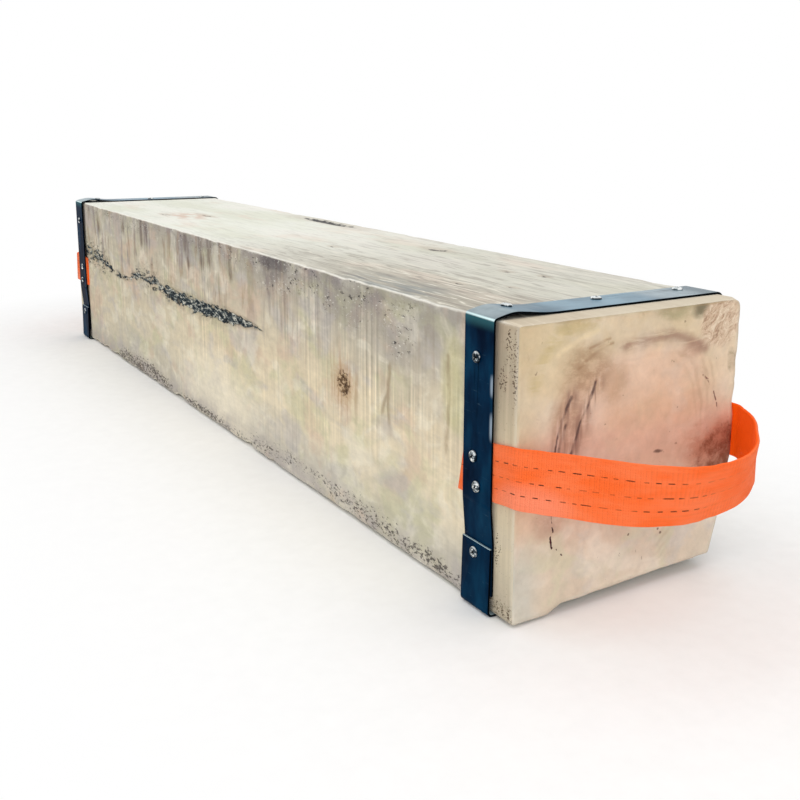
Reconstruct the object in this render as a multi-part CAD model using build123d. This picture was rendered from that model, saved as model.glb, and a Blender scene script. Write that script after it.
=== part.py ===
from build123d import *
from math import atan2, cos, degrees, pi
import os

# Short timber sleeper with a steel band and a webbing handle at each end.
# Millimetres. X runs along the timber and the end seen in the photo is +X.
# The long side seen in the photo faces -Y. Z is up and Z = 0 is the floor under the bands.

# Timber
TIMBER_LENGTH = 1350.0
TIMBER_WIDTH = 250.0
TIMBER_HEIGHT = 250.0
ARRIS_RADIUS = 3.0      # wear on the long edges
END_CHAMFER = 2.0       # wear round both end faces
WANE_HEIGHT = 100.0     # log surface left on the far lower edge, up from the underside
WANE_WIDTH = 21.0       # and in from the far side
WANE_BULGE = 1.0        # how far it rounds out between those two

# Break along the lower edge of the right end face
BREAK_DEPTH = 7.0
BREAK_REACH = 70.0      # how far it tapers out along the underside
BREAK_FOOT = 38.0       # width of the sound foot left at the near corner
BREAK_RAMP = 13.0       # width over which the break rises beside the foot

# Steel bands
BAND_WIDTH = 40.0
BAND_THICKNESS = 2.0
BAND_SETBACK = 24.0     # end face to the band's outer edge
BOW_HEIGHT = 4.2        # the band bows up this far off the top beside the near corner
BOW_PEAK = 15.0         # near side to the highest place of that bow
BOW_PEAK_RADIUS = 40.0  # how sharply it turns there
BOW_LENGTH = 50.0       # near side to where the band comes down on the top
BOW_RADIUS = 150.0      # how sharply it turns there
BOW_BEND_RADIUS = 2.0   # inside of the bend at the near top corner
SLIGHT_RADIUS = 40.0    # the slight bends below the webbing, where the band turns in
SLIGHT_DROP = 8.0       # webbing's lower edge to the upper one of those bends
FOOT_GAP = 0.3          # band to timber at the lower corners
LAP_START = 16.0        # the band's inner end, above the timber's underside
LAP_END = 58.5          # the band's outer end, above the timber's underside
LAP_CLEARANCE = 0.2
LAP_FLARE = 1.4         # the outer layer stands this much further out at its foot
SETTLE_RISE = 2.0       # the outer end up to where the inner layer bends off the timber

# Webbing handles
STRAP_WIDTH = 50.0
STRAP_THICKNESS = 3.0
STRAP_ABOVE_WANE = 2.0  # lower edge of the webbing above the start of the wane
STRAP_TAIL = 5.0        # webbing showing past the band's inner edge
SEAT_CLEARANCE = 0.1    # timber to webbing, and webbing to band
LOOP_REACH = 99.5       # middle of the webbing from the end face
LOOP_LEAVE = 6.0        # where the webbing turns off the side, past the end face
LOOP_LEAVE_RADIUS = 16.0
# The loop bends round three points. Their places across the timber and their radii are
# shares of the distance from the timber's middle to the webbing on its side.
NEAR_SHOULDER_SHARE = 0.43
NEAR_RADIUS_SHARE = 0.63
FAR_SHOULDER_SHARE = 0.26
FAR_RADIUS_SHARE = 0.75
FLANK_SHARE = 0.81
FLANK_RADIUS_SHARE = 0.95
FLANK_REACH_SHARE = 0.48     # share of the loop's reach

# Screws
SHANK_DIAMETER = 5.0
SHANK_LENGTH = 30.0     # under the head, with the point
POINT_LENGTH = 6.0
TIP_DIAMETER = 1.0
HEAD_DIAMETER = 10.0
HEAD_HEIGHT = 3.2
HEAD_RIM = 0.8          # upright rim of the head under its crown
CROWN_DIAMETER = 6.4
HEAD_SIDES = 12
SHANK_SIDES = 8
RECESS_SPAN = 5.2
RECESS_SLOT = 1.3
RECESS_DEPTH = 1.8
HOLE_CLEARANCE = 0.2    # all round, in the band, webbing and timber
HEAD_CLEARANCE = 0.1    # head to band
UPPER_SCREW_DROP = 33.0      # timber's top face to the upper screws
PAIR_DROP = 7.0              # webbing's middle to the middle of its two screws
PAIR_SPACING = 25.0
PAIR_STAGGER = 5.0           # offset of those two along the timber
LAP_SCREW_INSET = 10.0       # the band's outer end to the lap screw
TOP_SCREW_INSET = 26.0       # timber's side to the outer screws on top
SIDE_SCREW_SHIFT = 2.0       # band's middle to the side screws, inwards
TOP_SCREW_SHIFT = 8.0        # band's middle to the top screws, inwards

# Places that follow from the sizes
half_length = TIMBER_LENGTH / 2
half_width = TIMBER_WIDTH / 2
half_band = BAND_THICKNESS / 2
base = BAND_THICKNESS
top = base + TIMBER_HEIGHT
wane_top = base + WANE_HEIGHT
wane_foot = half_width - WANE_WIDTH
strap_low = wane_top + STRAP_ABOVE_WANE
strap_mid = strap_low + STRAP_WIDTH / 2
strap_side = half_width + SEAT_CLEARANCE + STRAP_THICKNESS / 2
band_gap = STRAP_THICKNESS + 2 * SEAT_CLEARANCE
band_side = half_width + band_gap + half_band
band_under = base - half_band
band_over = top + half_band
band_middle = half_length - BAND_SETBACK - BAND_WIDTH / 2

# Middle line of the strip in Y and Z, from its inner end up the near side and round to its lap.
near_flat = -half_width - FOOT_GAP - half_band
near_start = Vector(near_flat, base + LAP_START)
near_settle = Vector(near_flat, base + LAP_END + SETTLE_RISE)
near_low = Vector(-band_side, strap_low - SLIGHT_DROP)
near_top = Vector(-band_side, band_over)
bow_peak = Vector(BOW_PEAK - half_width, band_over + BOW_HEIGHT)
bow_end = Vector(BOW_LENGTH - half_width, band_over)
far_top = Vector(band_side, band_over)
far_low = Vector(band_side, strap_low - SLIGHT_DROP)
far_foot = Vector(wane_foot + FOOT_GAP + half_band, band_under)
lap_flat = near_flat - BAND_THICKNESS - LAP_CLEARANCE
lap_foot = Vector(lap_flat - LAP_FLARE, band_under)
lap_end = Vector(lap_flat, base + LAP_END)


def timber_section():
    wane_start = Vector(half_width, wane_top)
    wane_end = Vector(wane_foot, base)
    wane = SagittaArc(wane_start, wane_end, -WANE_BULGE)
    sawn_faces = Polyline(
        wane_end,
        (-half_width, base),
        (-half_width, top),
        (half_width, top),
        wane_start,
    )
    section = make_face([wane, sawn_faces])
    arrises = [corner for corner in section.vertices() if corner.Y != wane_top]
    return fillet(arrises, ARRIS_RADIUS)


def end_break():
    # Wedge along the underside of the right end, clear of the foot at the near corner.
    outside = 5.0
    slope = Polyline(
        (half_length - BREAK_REACH, base),
        (half_length + outside, base + BREAK_DEPTH * (1 + outside / BREAK_REACH)),
        (half_length + outside, base - outside),
        (half_length - BREAK_REACH, base - outside),
        close=True,
    )
    wedge = extrude(Plane.XZ * make_face(slope), half_width + outside, both=True)
    foot = BREAK_FOOT - half_width
    ramp = Polyline(
        (foot, base),
        (foot + BREAK_RAMP, base + BREAK_DEPTH),
        (foot + BREAK_RAMP, base + BREAK_DEPTH + outside),
        (half_width + outside, base + BREAK_DEPTH + outside),
        (half_width + outside, base - outside),
        (foot, base - outside),
        close=True,
    )
    past_foot = extrude(Plane.YZ * make_face(ramp), half_length + 2 * outside)
    return wedge & past_foot


def timber():
    body = extrude(Plane.YZ * timber_section(), half_length, both=True)
    end_faces = body.faces().filter_by(Axis.X)
    body = chamfer(end_faces.edges(), END_CHAMFER)
    return body - end_break()


def band():
    foot_bend = ARRIS_RADIUS + FOOT_GAP + half_band
    line = FilletPolyline(
        near_start,
        near_settle,
        near_low,
        near_top,
        bow_peak,
        bow_end,
        far_top,
        far_low,
        far_foot,
        lap_foot,
        lap_end,
        radius=(
            SLIGHT_RADIUS,
            SLIGHT_RADIUS,
            BOW_BEND_RADIUS + half_band,
            BOW_PEAK_RADIUS,
            BOW_RADIUS,
            ARRIS_RADIUS + band_gap + half_band,
            SLIGHT_RADIUS,
            foot_bend,
            foot_bend,
        ),
    )
    strip = trace(line, BAND_THICKNESS)
    edge = Plane.YZ.offset(band_middle - BAND_WIDTH / 2)
    return extrude(edge * strip, BAND_WIDTH)


def strap():
    # Middle line of the webbing in X and Y, from the near tail round the loop to the far tail.
    tail = half_length - BAND_SETBACK - BAND_WIDTH - STRAP_TAIL
    leave = half_length + LOOP_LEAVE
    shoulder = half_length + LOOP_REACH
    flank = half_length + FLANK_REACH_SHARE * LOOP_REACH
    line = FilletPolyline(
        (tail, -strap_side),
        (leave, -strap_side),
        (shoulder, -NEAR_SHOULDER_SHARE * strap_side),
        (shoulder, FAR_SHOULDER_SHARE * strap_side),
        (flank, FLANK_SHARE * strap_side),
        (leave, strap_side),
        (tail, strap_side),
        radius=(
            LOOP_LEAVE_RADIUS,
            NEAR_RADIUS_SHARE * strap_side,
            FAR_RADIUS_SHARE * strap_side,
            FLANK_RADIUS_SHARE * strap_side,
            LOOP_LEAVE_RADIUS,
        ),
    )
    webbing = trace(line, STRAP_THICKNESS)
    return extrude(Plane.XY.offset(strap_low) * webbing, STRAP_WIDTH)


def many_sided_cone(start_diameter, end_diameter, sides, height):
    # Stands on Z = 0. The diameters are across its corners.
    foot = RegularPolygon(start_diameter / 2, sides)
    drawn_in = (start_diameter - end_diameter) / 2 * cos(pi / sides)
    return extrude(foot, height, taper=degrees(atan2(drawn_in, height)))


def screw():
    # Its head stands on Z = 0 with the shank along -Z.
    rim = RegularPolygon(HEAD_DIAMETER / 2, HEAD_SIDES)
    crown = many_sided_cone(HEAD_DIAMETER, CROWN_DIAMETER, HEAD_SIDES, HEAD_HEIGHT - HEAD_RIM)
    shank = RegularPolygon(SHANK_DIAMETER / 2, SHANK_SIDES)
    point = many_sided_cone(SHANK_DIAMETER, TIP_DIAMETER, SHANK_SIDES, POINT_LENGTH)
    point_start = POINT_LENGTH - SHANK_LENGTH
    slot = Box(RECESS_SPAN, RECESS_SLOT, 2 * RECESS_DEPTH)
    recess = slot + Rot(0, 0, 90) * slot
    body = extrude(rim, HEAD_RIM) + Pos(0, 0, HEAD_RIM) * crown
    body += extrude(shank, point_start)
    body += Pos(0, 0, point_start) * Rot(180, 0, 0) * point
    return body - Pos(0, 0, HEAD_HEIGHT) * recess


def screw_hole():
    # Room for the shank, from outside the band to just past the point.
    outside = HEAD_HEIGHT
    length = outside + SHANK_LENGTH + HOLE_CLEARANCE
    hole = Cylinder(SHANK_DIAMETER / 2 + HOLE_CLEARANCE, length)
    return Pos(0, 0, outside - length / 2) * hole


def seat_on(start, end, share, x):
    # Plane under a screw head, on the outside of a straight run of the band.
    along = (end - start).normalized()
    out = Vector(-along.Y, along.X)
    place = start + (end - start) * share + out * (half_band + HEAD_CLEARANCE)
    return Plane((x, place.X, place.Y), (1, 0, 0), (0, out.X, out.Y))


def seat_at_height(start, end, height, x):
    return seat_on(start, end, (height - start.Y) / (end.Y - start.Y), x)


def seat_across(start, end, across, x):
    return seat_on(start, end, (across - start.X) / (end.X - start.X), x)


def screw_seats():
    # The seat of each screw of the right band.
    side_x = band_middle - SIDE_SCREW_SHIFT
    top_x = band_middle - TOP_SCREW_SHIFT
    top_outer = half_width - TOP_SCREW_INSET
    upper = top - UPPER_SCREW_DROP
    pair = strap_mid - PAIR_DROP
    lap = base + LAP_END - LAP_SCREW_INSET
    pair_high = (pair + PAIR_SPACING / 2, side_x - PAIR_STAGGER / 2)
    pair_low = (pair - PAIR_SPACING / 2, side_x + PAIR_STAGGER / 2)
    seats = {}
    for side, run in (("near", (near_low, near_top)), ("far", (far_top, far_low))):
        seats[side + "_upper"] = seat_at_height(*run, upper, side_x)
        seats[side + "_strap_high"] = seat_at_height(*run, *pair_high)
        seats[side + "_strap_low"] = seat_at_height(*run, *pair_low)
    seats["near_lap"] = seat_at_height(lap_foot, lap_end, lap, side_x)
    seats["top_near"] = seat_across(bow_peak, bow_end, -top_outer, top_x)
    seats["top_middle"] = seat_across(bow_end, far_top, 0, top_x)
    seats["top_far"] = seat_across(bow_end, far_top, top_outer, top_x)
    return seats


seats = screw_seats()
holes = [seat * screw_hole() for seat in seats.values()]
left_holes = [mirror(hole, Plane.YZ) for hole in holes]
right_band = band() - holes
right_strap = strap() - holes

pieces = {"timber_baulk": timber() - holes - left_holes}
pieces["right_end_band"] = right_band
pieces["left_end_band"] = mirror(right_band, Plane.YZ)
pieces["right_handle_strap"] = right_strap
pieces["left_handle_strap"] = mirror(right_strap, Plane.YZ)
for name, seat in seats.items():
    right_screw = seat * screw()
    pieces["right_screw_" + name] = right_screw
    pieces["left_screw_" + name] = mirror(right_screw, Plane.YZ)

os.makedirs("parts", exist_ok=True)
for name, body in pieces.items():
    export_step(body, f"parts/{name}.step")
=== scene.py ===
import math
from types import SimpleNamespace

import bpy
import numpy as np
from mathutils import Matrix, Vector


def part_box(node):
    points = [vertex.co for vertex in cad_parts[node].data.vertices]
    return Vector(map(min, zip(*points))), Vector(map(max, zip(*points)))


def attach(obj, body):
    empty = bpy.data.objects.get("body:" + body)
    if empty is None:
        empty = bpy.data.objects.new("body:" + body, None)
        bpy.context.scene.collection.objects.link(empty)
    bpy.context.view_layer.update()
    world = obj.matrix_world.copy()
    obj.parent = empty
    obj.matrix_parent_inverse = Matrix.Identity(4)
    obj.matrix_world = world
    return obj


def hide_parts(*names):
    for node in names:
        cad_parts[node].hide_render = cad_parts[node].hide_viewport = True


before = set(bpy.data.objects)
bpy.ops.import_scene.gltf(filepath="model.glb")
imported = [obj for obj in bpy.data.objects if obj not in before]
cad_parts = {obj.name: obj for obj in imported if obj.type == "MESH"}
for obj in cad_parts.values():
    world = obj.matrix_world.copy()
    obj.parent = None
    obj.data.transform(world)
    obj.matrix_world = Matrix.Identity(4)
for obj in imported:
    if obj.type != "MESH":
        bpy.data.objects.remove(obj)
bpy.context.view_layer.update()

# Lengths are millimetres in this script and become metres where a mesh is made.
# X runs along the timber towards the end in view, -Y is the long side in view, Z is up.
# Along and away are distances from the end in view. Height on the timber is above its underside.
MM = 0.001
BUMP_TABLE = (97, 89)        # size of the tables of random values that bumps are read from

timber_low, timber_high = (np.array(corner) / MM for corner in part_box("timber_baulk"))
END = timber_high[0]         # the end in view; the other end is at -END
SIDE = timber_high[1]
UNDER = timber_low[2]
TOP = timber_high[2]

# Timber
ARRIS_RADIUS = 3.0
ARRIS_WEAR = ((2.5, 6.0), (1.6, 3.5), (1.6, 4.0), (2.5, 6.0))     # usual and deepest, corner by corner
WANE_HEIGHT = 100.0
WANE_WIDTH = 21.0
WANE_RADIUS = 90.0           # how softly the sawn side turns into the wane
BREAK_DEPTH = 7.0
BREAK_REACH = 70.0
BREAK_FOOT = 38.0
BREAK_RAMP = 16.0
BREAK_SLANT = 0.5            # how much higher the break is at the far side
BREAK_SQUEEZE = 45.0         # height over which the wood above the break is pressed together
BAND_COVER = (90, 66)        # from where to where, from either end, the faces get smooth under a band
PITH = (30.0, 147.0)
END_HOLLOW = 0.6             # how far the middles of the ends are sunk
HEART = (6.0, 128.0)         # middle of the heartwood on the end in view, and its half sizes
HEART_HALF = (100.0, 98.0)
RING_PITCH = 8.0
END_ROWS = (37, 27)          # mesh rows from rim to middle, on the end in view and on the other
HALF_END = 120.0             # roughly from the middle of an end to its rim

# Marks of the near side. Specks on the strip between band and end: along and height, and half sizes.
STRIP_DIRT = (
    ((11, 229), (6, 26)), ((2.5, 212), (5, 42)), ((19, 203), (9, 13)), ((21, 58), (8, 18)),
    ((12, 2), (30, 18)),
)
# Bark: along, middle height and half width.
BARK = np.array([
    (488, 157, 0.5), (520, 158, 3), (560, 157, 6), (630, 154, 10), (700, 151, 10), (760, 151, 9.5),
    (815, 151, 11), (850, 154, 12), (900, 160, 22), (960, 161, 21), (1000, 156, 12), (1030, 147, 4),
    (1060, 145, 7), (1100, 145, 7), (1120, 147, 4), (1140, 153, 18), (1190, 158, 30), (1270, 162, 30),
    (1300, 162, 24),
])
NO_BARK = -3
OPEN_BARK = 850.0            # from here on the bark is broken into specks
# Dark specks along the foot: along, how strong, their middle height and half height.
FOOT_DIRT = np.array([
    (50, 0.9, 9, 14), (120, 0.85, 9, 12), (165, 0.7, 10, 13), (240, 0.8, 16, 17), (330, 0.6, 15, 10),
    (430, 0.65, 20, 11), (520, 0.6, 12, 12), (600, 0.5, 5, 8), (640, 0.9, 6, 9), (760, 0.95, 6, 9),
    (800, 0.3, 6, 9), (850, 0.8, 7, 12), (930, 0.95, 12, 18), (1090, 1.0, 10, 16), (1130, 0.2, 8, 12),
    (1350, 0.1, 4, 6),
])
# Dirt under the upper edge: along, how strong and how deep it reaches.
EDGE_DIRT = np.array([
    (24, 0.1, 20), (110, 0.25, 26), (160, 0.5, 40), (200, 0.75, 50), (280, 0.75, 54), (340, 0.7, 48),
    (400, 0.5, 40), (435, 0.95, 52), (470, 1.0, 50), (500, 0.9, 40), (540, 0.45, 30), (700, 0.5, 34),
    (950, 0.45, 34), (1150, 0.4, 40), (1350, 0.3, 40),
])
# Ovals: along, height or place across, and half sizes.
SPECK_CLOUDS = ((178, 208, 42, 34),)
SIDE_KNOTS = ((289, 139, 13.5, 13),)
TOP_MARKS = (
    (776, 106, 88, 11), (422, 74, 20, 8), (234, 40, 8, 4), (188, 53, 7, 3.5), (194, -47, 7, 3.5),
    (149, -17, 6, 3), (508, -21, 9, 4), (1010, -66, 16, 5), (960, -15, 26, 4),
)
TOP_PATCHES = ((965, -45, 75, 42),)
FAR_OFF = 9.0                # in half sizes, no longer near any oval
BLUE_DIRT = 222.0            # along, middle of the bluish dirt beside the upper near edge
# Dirt that has run down from the upper edge, and thin lines in the grain: along and height.
SMEARS = (
    ((1052, 250), (1054, 222)), ((957, 246), (954, 212)), ((930, 238), (934, 206)),
    ((753, 240), (750, 206)), ((693, 248), (690, 216)), ((662, 246), (664, 220)),
    ((587, 246), (590, 212)), ((476, 249), (470, 214)), ((1200, 250), (1196, 214)),
)
SIDE_LINES = (
    ((95, 206), (97, 158), (97, 109)),
    ((197, 178), (200, 150), (218, 112)),
    ((200, 150), (194, 112)),
)
# Tints of the sides: seed, patches to the metre, strength and colour.
SIDE_TINTS = (
    (3, (13, 13, 19), 0.5, (196, 194, 156)),
    (4, (15, 15, 18), 0.5, (210, 182, 160)),
    (5, (12, 12, 22), 0.5, (186, 180, 178)),
    (6, (26, 26, 34), 0.4, (236, 230, 212)),
)
# Soft spots of the sides: middle, half sizes, strength and colour.
SIDE_SPOTS = (
    ((88, 185), (26, 56), 0.6, (206, 198, 148)),
    ((650, 40), (170, 80), 0.75, (240, 230, 208)),
)
SAWN_SPOT = ((290, 170), (190, 120), 0.9)      # where the saw lines show most

# Marks of the end in view, by place across and height above the floor.
# Soft patches: middle, half sizes, strength and colour.
END_PATCHES = (
    ((-54, 208), (36, 30), 0.7, (160, 130, 100)),
    ((-72, 246), (24, 8), 0.6, (172, 156, 112)),
    ((44, 247), (30, 9), 0.75, (160, 152, 118)),
    ((76, 246), (14, 10), 0.95, (122, 114, 90)),
    ((119, 196), (6, 14), 0.8, (136, 120, 92)),
    ((70, 212), (22, 12), 0.5, (170, 128, 110)),
    # The next patch is painted shade with an orange reflection, below the webbing.
    ((-88, 82), (22, 18), 0.55, (170, 130, 112)),
    ((-66, 166), (30, 38), 0.6, (158, 124, 102)),
    ((-24, 194), (26, 26), 0.45, (172, 140, 110)),
    ((98, 118), (46, 34), 0.65, (174, 116, 90)),
)
# Arcs of grain: points, half width, strength and colour.
END_ARCS = (
    (((-108, 198), (-102, 216), (-90, 234), (-70, 243), (-47, 246)), 11.0, 0.6, (188, 170, 122)),
    (((-84, 224), (-61, 235), (-42, 240)), 4.0, 0.6, (228, 210, 172)),
    (((-62, 210), (-40, 224), (-26, 227)), 3.0, 0.7, (152, 120, 90)),
    (((-50, 226), (-29, 231)), 2.4, 0.6, (152, 120, 90)),
    (((-48, 222), (-30, 227)), 1.6, 0.6, (230, 212, 176)),
    (((-10, 223), (26, 227), (40, 227), (57, 223), (84, 211)), 9.0, 0.75, (154, 124, 106)),
)
END_TORN = ((101, 232), (30, 28))              # torn grain: middle and half sizes
END_STAIN = ((120, 106), (52, 42))
END_SPOTS = (((33, 124), (8, 2.4)), ((2, 52), (1.8, 1.6)), ((38, 50), (1.8, 1.6)), ((42, 46), (2.0, 1.6)))
END_CRACKS = (
    ((-42, 196), (-46, 186), (-50, 175), (-57, 163), (-67, 138), (-72, 118)),
    ((-68, 187), (-76, 168), (-82, 146), (-88, 118)),
    ((-72, 164), (-78, 144), (-82, 118)),
)
END_DASHES = (
    ((-84, 92), (-84, 82)), ((-84, 78), (-83, 74)), ((-85, 70), (-83, 60)), ((-79, 58), (-78, 57)),
    ((-74, 52), (-73, 51)),
)
END_DOTS = (((83, 189), (92, 177)), ((99, 169), (102, 162), (105, 150)))      # beside the heartwood
# Dents in the far upright edge of the end in view: height above the floor, half height and depth.
FAR_DENTS = ((196, 14, 0.8), (157, 16, 2.4), (228, 7, 0.6), (178, 5, 0.6))
TORN_CORNER = (9.0, 2.5)     # how far the far upper corner is torn along and how deep

# Webbing
STRAP_WIDTH = 50.0
STRAP_THICKNESS = 2.9
STRAP_MIDDLE = 129.0         # height of its middle above the floor
STRAP_SIDE = SIDE + 1.6
STRAP_STEP = 1.2             # between the rows of its mesh
STRAP_POINTS = 41            # mesh points across each of its faces
TAIL_END = 606.0
TAIL_SLANT = 5.0             # how far the near tail's end is cut aslant at each edge
LEAVE_X = END + 6.0
LEAVE_RADIUS = 16.0
SHOULDER_X = END + 99.5
RIB_PITCH = 1.9
WARP_PITCH = 1.35
MARKER_ROWS = (0.28, 0.525, 0.745)             # shares of the width from the upper edge
MARKER_CYCLE = 10.4
MARKER_SHIFT = 4.7           # from row to row
STRAP_SHEEN = ((84, -20), (46, 22), 0.6)       # a paler spot: along and across, half sizes and strength
# How the webbing twists: place along it from the near tail, lean of its upper edge inward in
# degrees, and rise.
TWIST = np.array([
    (0, 0, -7), (51, 0, -2), (63, 1, 0.3), (75, 4, 1.4), (88, 9, 1.2), (140, 9, 1.1), (165, 3, 0.6),
    (190, -5, 0.2), (215, -11, -1.4), (235, -15, -1.8), (262, -15, -1.0), (285, -11, 0.8),
    (310, -5, 1.2), (335, 0, 0.5), (400, 0, 0), (481, 0, 0),
])
TWIST_BLUR = 17              # rows over which the twist is evened out
FAR_TWIST = (0.4, 0.2)       # shares of lean and rise that the other end's webbing has

# Bands
BAND_EDGE = END - 24.0
BAND_EASE = 0.45
# Painted glints: highlights painted onto the band's near edge.
BAND_PAINTED_GLINTS = ((199.0, 11.0), (165.0, 14.0))   # bright places on the near edge: height and half height
# Dust and a painted sky reflection on top, across the timber: where each colour starts, where it is full, and
# the colour.
BAND_DUST_AND_REFLECTION = (
    (-48.0, -66.0, (84, 118, 136)),
    (-100.0, -113.0, (156, 174, 180)),
    (38.0, 62.0, (166, 184, 192)),
    (90.0, 112.0, (104, 122, 130)),
)

# Screws
SCREW_COLUMNS = 48
HEAD_RADIUS = 5.0
HEAD_HEIGHT = 3.2
HEAD_CROWN = 2.6
HEAD_RIM = 0.7
RECESS_DEPTH = 1.9
SHANK_RADIUS = 2.5
CORE_RADIUS = 1.8
SHANK_LENGTH = 30.0
SHANK_STEP = 0.4
POINT_LENGTH = 6.0
THREAD_PITCH = 2.2

# Floor, light and camera
FLOOR_RADIUS = 9.0           # metres
FLOOR_DROP = 0.3
FLOOR_COLUMNS = 96
FLOOR_FADE = (135.0, 520.0)  # distances from the timber's middle line over which the floor turns white
WORLD_LIGHT = 0.62
CAMERA_PLACE = (1.27985, -0.59244, 0.40707)
CAMERA_AZIMUTH = 57.133
CAMERA_PITCH = 11.742
CAMERA_ROLL = 0.505
FRAME_PIXELS = 800
FOCAL_PIXELS = 1016.37
CENTRE_PIXEL = (433.9, 329.4)        # where the line of sight meets the picture


def smooth_step(low, high, value):
    share = np.clip((value - low) / (high - low), 0, 1)
    return share * share * (3 - 2 * share)


def bumps(u, v, seed):
    """Smooth random bumps from 0 to 1, one to each unit of u and v."""
    table = np.random.default_rng(seed).random(BUMP_TABLE)
    column = np.floor(u).astype(int)
    row = np.floor(v).astype(int)
    across = smooth_step(0, 1, u - column)
    down = smooth_step(0, 1, v - row)

    def corner(right, below):
        return table[(column + right) % BUMP_TABLE[0], (row + below) % BUMP_TABLE[1]]

    upper = corner(0, 0) * (1 - across) + corner(1, 0) * across
    lower = corner(0, 1) * (1 - across) + corner(1, 1) * across
    return upper * (1 - down) + lower * down


def roughness(u, v, seed, octaves=3):
    """Bumps at several scales added up, from 0 to 1."""
    total, weight = 0.0, 0.0
    for octave in range(octaves):
        share = 0.5 ** octave
        total = total + share * bumps(u * 2 ** octave, v * 2 ** octave, seed + octave)
        weight += share
    return total / weight


def lengths_along(line):
    return np.r_[0, np.cumsum(np.linalg.norm(np.diff(line, axis=0), axis=1))]


def points_at(places, known, line):
    """Points of a line, at places between the known places of its own points."""
    return np.stack([np.interp(places, known, line[:, axis]) for axis in range(2)], axis=1)


def table_at(table, places):
    """The columns of a table after its first, at places between its rows."""
    return [np.interp(places, table[:, 0], column) for column in table[:, 1:].T]


def rounded_path(corners, radii, step):
    """Evenly spaced points along straight runs joined by tangent arcs."""
    corners = np.array(corners, float)
    line = [corners[0]]
    for before, corner, after, radius in zip(corners, corners[1:], corners[2:], radii):
        way_in = (corner - before) / np.linalg.norm(corner - before)
        way_out = (after - corner) / np.linalg.norm(after - corner)
        turn = math.atan2(way_in[0] * way_out[1] - way_in[1] * way_out[0], way_in @ way_out)
        start = corner - way_in * radius * math.tan(abs(turn) / 2)
        to_centre = math.copysign(1, turn) * np.array([-way_in[1], way_in[0]])
        for share in np.linspace(0, 1, 13):
            angle = abs(turn) * share
            line.append(start + radius * (math.sin(angle) * way_in + (1 - math.cos(angle)) * to_centre))
    line = np.array(line + [corners[-1]])
    lengths = lengths_along(line)
    count = int(round(lengths[-1] / step)) + 1
    return points_at(np.linspace(0, lengths[-1], count), lengths, line)


def graded(spacing):
    """Places along a line whose wanted spacing is given at each millimetre."""
    count = np.r_[0, np.cumsum(1 / spacing[:-1])]
    return np.interp(np.linspace(0, count[-1], int(count[-1]) + 1), count, np.arange(len(spacing)))


def line_distance(along, across, points):
    """Distance from a line of straight runs through points of a face."""
    best = np.full(np.broadcast(along, across).shape, 1e6)
    for start, end in zip(points, points[1:]):
        run = np.subtract(end, start)
        share = ((along - start[0]) * run[0] + (across - start[1]) * run[1]) / (run @ run)
        share = np.clip(share, 0, 1)
        off = np.hypot(along - start[0] - share * run[0], across - start[1] - share * run[1])
        best = np.minimum(best, off)
    return best


def nearest_oval(along, across, ovals):
    """Distance from the middle of the nearest oval, 1 at its edge."""
    nearest = FAR_OFF
    for place, side, half_along, half_across in ovals:
        nearest = np.minimum(nearest, np.hypot((along - place) / half_along, (across - side) / half_across))
    return nearest


def grid_faces(rows, columns):
    """Quads of a grid of points, row after row, whose last column joins its first."""
    row, column = np.meshgrid(np.arange(rows - 1), np.arange(columns), indexing="ij")
    here = row * columns + column
    beside = row * columns + (column + 1) % columns
    return np.stack([here, here + columns, beside + columns, beside], axis=-1).reshape(-1, 4)


def capped_faces(rows, columns):
    """Faces of such a grid, with its first and last rows closed round two points that follow it."""
    count = rows * columns
    last = count - columns
    pairs = [(j, (j + 1) % columns) for j in range(columns)]
    first_fan = [(count, j, k) for j, k in pairs]
    last_fan = [(last + j, count + 1, last + k) for j, k in pairs]
    return grid_faces(rows, columns).tolist() + first_fan + last_fan


def new_object(name, vertices, faces, materials, face_materials=None):
    """A smooth mesh object from points in millimetres."""
    mesh = bpy.data.meshes.new(name)
    mesh.from_pydata((np.asarray(vertices) * MM).tolist(), [], faces)
    for material in materials:
        mesh.materials.append(material)
    mesh.polygons.foreach_set("use_smooth", np.ones(len(faces), bool))
    if face_materials is not None:
        mesh.polygons.foreach_set("material_index", face_materials)
    mesh.validate()
    mesh.update()
    thing = bpy.data.objects.new(name, mesh)
    bpy.context.scene.collection.objects.link(thing)
    return thing


def add_field(thing, name, values):
    field = thing.data.attributes.new(name, "FLOAT", "POINT")
    field.data.foreach_set("value", np.asarray(values, np.float32).ravel())


def stands_for(thing, node):
    """Puts a piece in the place of a node: hangs it under the root body and hides the node."""
    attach(thing, "root")
    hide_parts(node)


# Materials

def screen(red, green, blue):
    """A colour as it looks on screen, 0 to 255, as the linear values that a shader takes."""
    share = np.array([red, green, blue]) / 255
    linear = np.where(share <= 0.04045, share / 12.92, ((share + 0.055) / 1.055) ** 2.4)
    return (*linear.tolist(), 1.0)


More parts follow.
